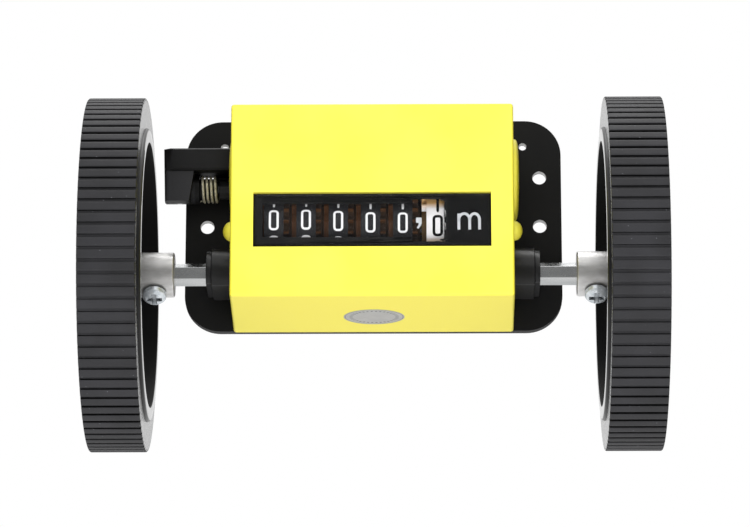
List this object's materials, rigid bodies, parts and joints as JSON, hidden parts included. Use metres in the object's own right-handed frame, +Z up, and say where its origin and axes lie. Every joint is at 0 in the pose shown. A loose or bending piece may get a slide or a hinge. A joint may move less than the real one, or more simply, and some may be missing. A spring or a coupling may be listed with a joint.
{
  "type": "cable length counter",
  "caption": "Length counter with two ribbed measuring wheels on a hexagon axle, number drums in a yellow box, reset lever and mounting plate",
  "frame": {"origin": "on the axle, midway between the two wheels, which is the middle of the overall box", "axes": "+X along the axle to the right as the display is read, +Y from the display back to the mounting plate, +Z up"},
  "size_m": [0.171, 0.106, 0.106],
  "materials": {
    "tyre": "matt black rubber",
    "wheel": "black moulded plastic",
    "hub": "turned",
    "screw": "bright zinc",
    "steel": "bright drawn",
    "clip": "spring steel",
    "gear": "brown engineering plastic",
    "sleeve": "natural bearing plastic",
    "drum": "black",
    "tenths": "white",
    "comb": "dark",
    "lever": "black",
    "spring": "plain wire",
    "frame": "black moulded",
    "plate": "black",
    "cover": "yellow",
    "bezel": "black",
    "lens": "clear"
  },
  "bodies": {
    "housing": {"chassis": "frame", "base_plate": "plate", "plate_screws": "screw", "front_cover": "cover", "right_cover_screw": "cover", "left_cover_screw": "cover", "window_bezel": "bezel", "window_lens": "lens", "drum_shaft": "steel", "pinion_shaft": "steel", "idler_stud": "steel", "idler_clip": "clip"},
    "axle": {"main_axle": "steel", "axle_clips": "clip", "axle_gear": "gear", "right_bearing_sleeve": "sleeve", "left_bearing_sleeve": "sleeve", "right_tyre": "tyre", "left_tyre": "tyre", "right_wheel": "wheel", "left_wheel": "wheel", "right_hub": "hub", "left_hub": "hub", "right_clamp_screw": "screw", "left_clamp_screw": "screw"},
    "idler": {"idler_gear": "gear"},
    "tenths": {"tenths_drum": "tenths", "tenths_gear": "gear"},
    "reset": {"reset_shaft": "steel", "reset_comb": "comb", "reset_lever": "lever", "lever_pin": "steel", "reset_spring": "spring"},
    "units": {"units_drum": "drum"},
    "units_transfer": {"units_pinion": "gear"},
    "tens": {"tens_drum": "drum"},
    "tens_transfer": {"tens_pinion": "gear"},
    "hundreds": {"hundreds_drum": "drum"},
    "hundreds_transfer": {"hundreds_pinion": "gear"},
    "thousands": {"thousands_drum": "drum"},
    "thousands_transfer": {"thousands_pinion": "gear"},
    "ten_thousands": {"ten_thousands_drum": "drum"},
    "ten_thousands_transfer": {"ten_thousands_pinion": "gear"}
  },
  "joints": [
    {"name": "axle_spin", "type": "hinge", "parent": "housing", "child": "axle", "pos_m": [0, 0, 0], "axis": [1, 0, 0], "continuous": true},
    {"name": "idler_spin", "type": "hinge", "parent": "housing", "child": "idler", "pos_m": [0.028, -0.00069, 0.01599], "axis": [1, 0, 0], "continuous": true},
    {"name": "tenths_spin", "type": "hinge", "parent": "housing", "child": "tenths", "pos_m": [0.018, -0.01349, 0.0094], "axis": [1, 0, 0], "continuous": true},
    {"name": "units_transfer_spin", "type": "hinge", "parent": "housing", "child": "units_transfer", "pos_m": [0.013, -0.00953, 0.02428], "axis": [1, 0, 0], "continuous": true},
    {"name": "units_spin", "type": "hinge", "parent": "housing", "child": "units", "pos_m": [0.0083, -0.01349, 0.0094], "axis": [1, 0, 0], "continuous": true},
    {"name": "tens_transfer_spin", "type": "hinge", "parent": "housing", "child": "tens_transfer", "pos_m": [0.0035, -0.00953, 0.02428], "axis": [1, 0, 0], "continuous": true},
    {"name": "tens_spin", "type": "hinge", "parent": "housing", "child": "tens", "pos_m": [-0.0012, -0.01349, 0.0094], "axis": [1, 0, 0], "continuous": true},
    {"name": "hundreds_transfer_spin", "type": "hinge", "parent": "housing", "child": "hundreds_transfer", "pos_m": [-0.006, -0.00953, 0.02428], "axis": [1, 0, 0], "continuous": true},
    {"name": "hundreds_spin", "type": "hinge", "parent": "housing", "child": "hundreds", "pos_m": [-0.0107, -0.01349, 0.0094], "axis": [1, 0, 0], "continuous": true},
    {"name": "thousands_transfer_spin", "type": "hinge", "parent": "housing", "child": "thousands_transfer", "pos_m": [-0.0155, -0.00953, 0.02428], "axis": [1, 0, 0], "continuous": true},
    {"name": "thousands_spin", "type": "hinge", "parent": "housing", "child": "thousands", "pos_m": [-0.0202, -0.01349, 0.0094], "axis": [1, 0, 0], "continuous": true},
    {"name": "ten_thousands_transfer_spin", "type": "hinge", "parent": "housing", "child": "ten_thousands_transfer", "pos_m": [-0.025, -0.00953, 0.02428], "axis": [1, 0, 0], "continuous": true},
    {"name": "ten_thousands_spin", "type": "hinge", "parent": "housing", "child": "ten_thousands", "pos_m": [-0.0297, -0.01349, 0.0094], "axis": [1, 0, 0], "continuous": true},
    {"name": "reset_press", "type": "hinge", "parent": "housing", "child": "reset", "pos_m": [-0.05, 0.005, 0.0284], "axis": [1, 0, 0], "range_deg": [-20, 0], "stiffness_Nm_per_rad": 0.03, "springref_deg": 20.05}
  ],
  "couplings": [
    {"joint": "idler_spin", "follows": "axle_spin", "ratio": -0.66667},
    {"joint": "tenths_spin", "follows": "axle_spin", "ratio": 0.33333},
    {"joint": "units_transfer_spin", "follows": "axle_spin", "ratio": -0.083333},
    {"joint": "units_spin", "follows": "axle_spin", "ratio": 0.033333},
    {"joint": "tens_transfer_spin", "follows": "axle_spin", "ratio": -0.0083333},
    {"joint": "tens_spin", "follows": "axle_spin", "ratio": 0.0033333},
    {"joint": "hundreds_transfer_spin", "follows": "axle_spin", "ratio": -0.00083333},
    {"joint": "hundreds_spin", "follows": "axle_spin", "ratio": 0.00033333},
    {"joint": "thousands_transfer_spin", "follows": "axle_spin", "ratio": -0.000083333},
    {"joint": "thousands_spin", "follows": "axle_spin", "ratio": 0.000033333},
    {"joint": "ten_thousands_transfer_spin", "follows": "axle_spin", "ratio": -0.0000083333},
    {"joint": "ten_thousands_spin", "follows": "axle_spin", "ratio": 0.0000033333}
  ]
}
